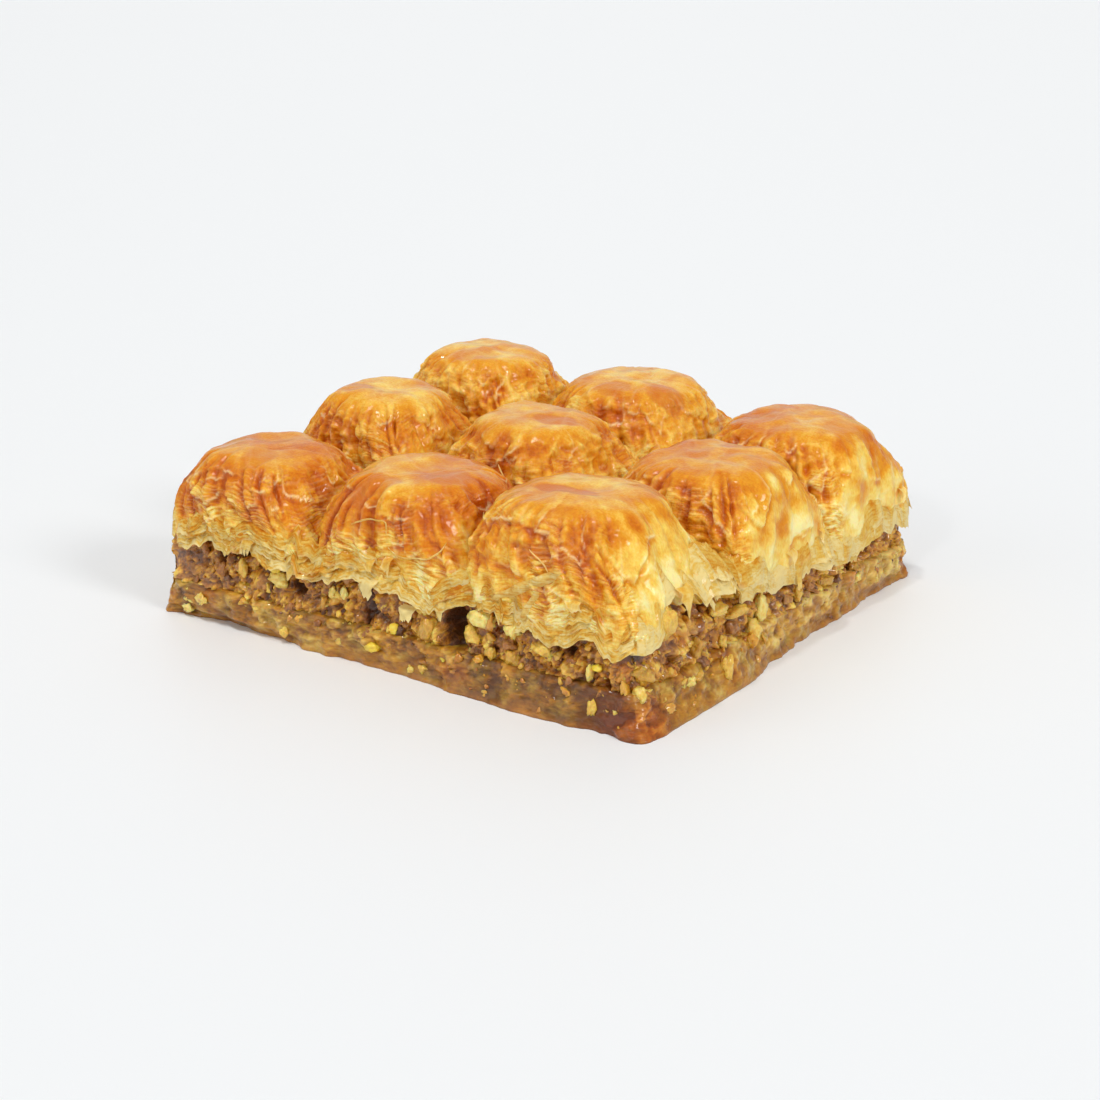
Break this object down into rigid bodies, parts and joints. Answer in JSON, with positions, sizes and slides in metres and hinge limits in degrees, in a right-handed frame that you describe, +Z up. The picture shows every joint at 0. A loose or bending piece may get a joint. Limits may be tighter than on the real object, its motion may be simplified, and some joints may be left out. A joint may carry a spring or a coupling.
{
  "type": "baklava slab",
  "caption": "Square slab of domed baklava: soaked pastry base, crumbled walnut filling and a pleated golden crust on each piece, cut but still joined.",
  "frame": {"origin": "middle of the flat bottom", "axes": "+X along the front side from the left corner to the right corner, +Y towards the back row, +Z up"},
  "size_m": [0.1268, 0.1268, 0.0458],
  "materials": {
    "soaked_pastry": "syrup-soaked pastry sheets, wet and dull golden brown",
    "walnut_filling": "crumbled walnut, rough and brown with pale chunks",
    "golden_crust": "baked flaky sheets, golden and glossy with syrup"
  },
  "bodies": {
    "root": {"soaked_base": "soaked_pastry", "nut_filling": "walnut_filling", "crust_1_1": "golden_crust", "crust_1_2": "golden_crust", "crust_1_3": "golden_crust", "crust_2_1": "golden_crust", "crust_2_2": "golden_crust", "crust_2_3": "golden_crust", "crust_3_1": "golden_crust", "crust_3_2": "golden_crust", "crust_3_3": "golden_crust"}
  },
  "joints": []
}
